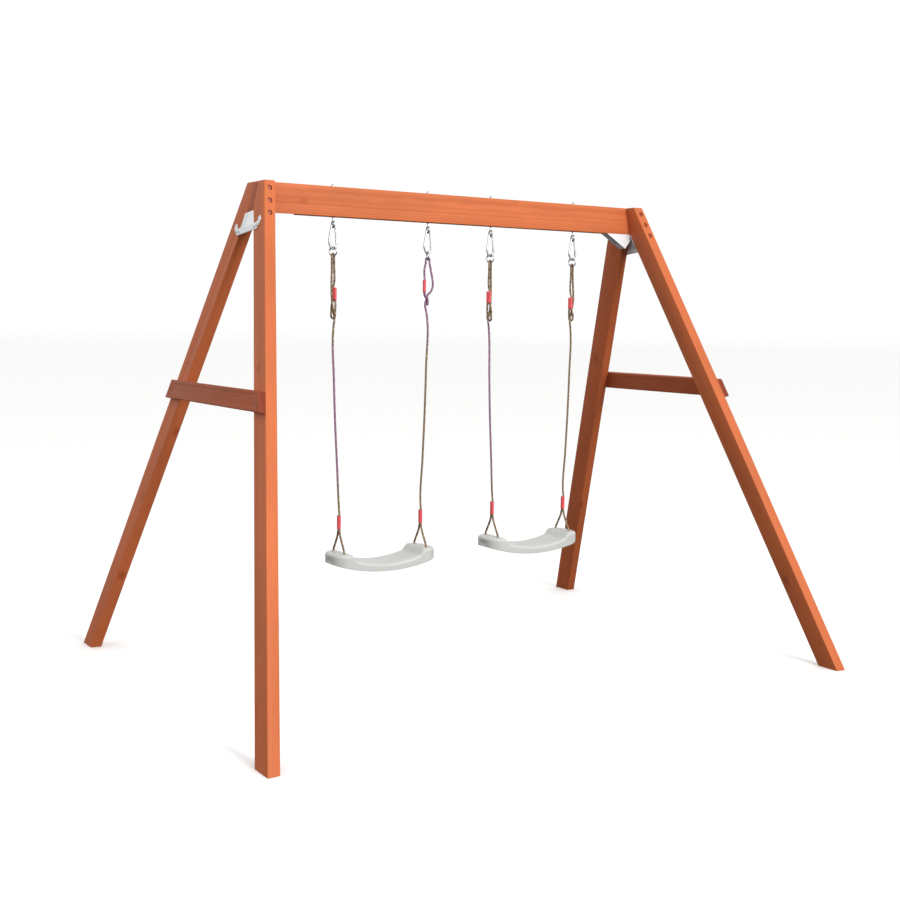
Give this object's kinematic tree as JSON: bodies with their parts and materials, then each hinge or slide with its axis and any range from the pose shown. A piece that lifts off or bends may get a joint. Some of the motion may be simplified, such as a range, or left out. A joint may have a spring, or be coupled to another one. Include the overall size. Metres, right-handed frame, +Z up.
{
  "type": "swing set",
  "caption": "Free-standing wooden swing set: a beam on splayed A-frames, with rope-hung curved plastic seats side by side on carabiners.",
  "frame": {"origin": "on the ground, under the middle of the beam", "axes": "+X along the beam to the right, +Y to the back, +Z up; metres"},
  "size_m": [2.598, 2.05, 1.9621],
  "materials": {
    "stained_wood": "orange-red stained planed softwood",
    "white_steel": "white powder-coated sheet",
    "zinc_steel": "bright zinc plated",
    "braided_rope": "braided polyethylene, tan and brown fleck",
    "red_plastic": "moulded, satin",
    "seat_plastic": "blow moulded, light grey"
  },
  "bodies": {
    "frame": {"top_beam": "stained_wood", "leg_front_left": "stained_wood", "leg_back_left": "stained_wood", "leg_front_right": "stained_wood", "leg_back_right": "stained_wood", "crossbar_left": "stained_wood", "crossbar_right": "stained_wood", "apex_bolts_left": "zinc_steel", "apex_bolts_right": "zinc_steel", "apex_nuts_left": "zinc_steel", "apex_nuts_right": "zinc_steel", "crossbar_screws": "stained_wood", "corner_gusset_left": "white_steel", "corner_gusset_right": "white_steel", "gusset_screws": "zinc_steel", "hook_plate_left": "white_steel", "hook_plate_right": "white_steel", "hook_plate_screws": "zinc_steel", "eye_bolt_1": "zinc_steel", "eye_bolt_2": "zinc_steel", "eye_bolt_3": "zinc_steel", "eye_bolt_4": "zinc_steel", "eye_bolt_nuts": "zinc_steel", "eye_bolt_washers": "zinc_steel"},
    "hangers_left": {"carabiner_1": "zinc_steel", "carabiner_2": "zinc_steel"},
    "swing_left": {"rope_ring_1": "zinc_steel", "rope_ring_2": "zinc_steel", "rope_1": "braided_rope", "rope_2": "braided_rope", "upper_sleeve_1": "red_plastic", "upper_sleeve_2": "red_plastic", "lower_sleeve_1": "red_plastic", "lower_sleeve_2": "red_plastic", "seat_left": "seat_plastic"},
    "hangers_right": {"carabiner_3": "zinc_steel", "carabiner_4": "zinc_steel"},
    "swing_right": {"rope_ring_3": "zinc_steel", "rope_ring_4": "zinc_steel", "rope_3": "braided_rope", "rope_4": "braided_rope", "upper_sleeve_3": "red_plastic", "upper_sleeve_4": "red_plastic", "lower_sleeve_3": "red_plastic", "lower_sleeve_4": "red_plastic", "seat_right": "seat_plastic"},
    "gate_1": {"carabiner_gate_1": "zinc_steel"},
    "gate_2": {"carabiner_gate_2": "zinc_steel"},
    "gate_3": {"carabiner_gate_3": "zinc_steel"},
    "gate_4": {"carabiner_gate_4": "zinc_steel"}
  },
  "joints": [
    {"name": "left_swing", "type": "hinge", "parent": "frame", "child": "hangers_left", "pos_m": [-0.366, 0, 1.8023], "axis": [1, 0, 0], "range_deg": [-60, 60]},
    {"name": "left_ring_tilt", "type": "hinge", "parent": "hangers_left", "child": "swing_left", "pos_m": [-0.366, 0, 1.7103], "axis": [1, 0, 0], "range_deg": [-25, 25]},
    {"name": "right_swing", "type": "hinge", "parent": "frame", "child": "hangers_right", "pos_m": [0.366, 0, 1.8023], "axis": [1, 0, 0], "range_deg": [-60, 60]},
    {"name": "right_ring_tilt", "type": "hinge", "parent": "hangers_right", "child": "swing_right", "pos_m": [0.366, 0, 1.7103], "axis": [1, 0, 0], "range_deg": [-25, 25]},
    {"name": "gate_1_open", "type": "hinge", "parent": "hangers_left", "child": "gate_1", "pos_m": [-0.5635, 0, 1.7303], "axis": [0, -1, 0], "range_deg": [0, 12], "stiffness_Nm_per_rad": 0.05, "springref_deg": -17.19},
    {"name": "gate_2_open", "type": "hinge", "parent": "hangers_left", "child": "gate_2", "pos_m": [-0.1355, 0, 1.7303], "axis": [0, -1, 0], "range_deg": [0, 12], "stiffness_Nm_per_rad": 0.05, "springref_deg": -17.19},
    {"name": "gate_3_open", "type": "hinge", "parent": "hangers_right", "child": "gate_3", "pos_m": [0.1685, 0, 1.7303], "axis": [0, -1, 0], "range_deg": [0, 12], "stiffness_Nm_per_rad": 0.05, "springref_deg": -17.19},
    {"name": "gate_4_open", "type": "hinge", "parent": "hangers_right", "child": "gate_4", "pos_m": [0.5965, 0, 1.7303], "axis": [0, -1, 0], "range_deg": [0, 12], "stiffness_Nm_per_rad": 0.05, "springref_deg": -17.19}
  ]
}
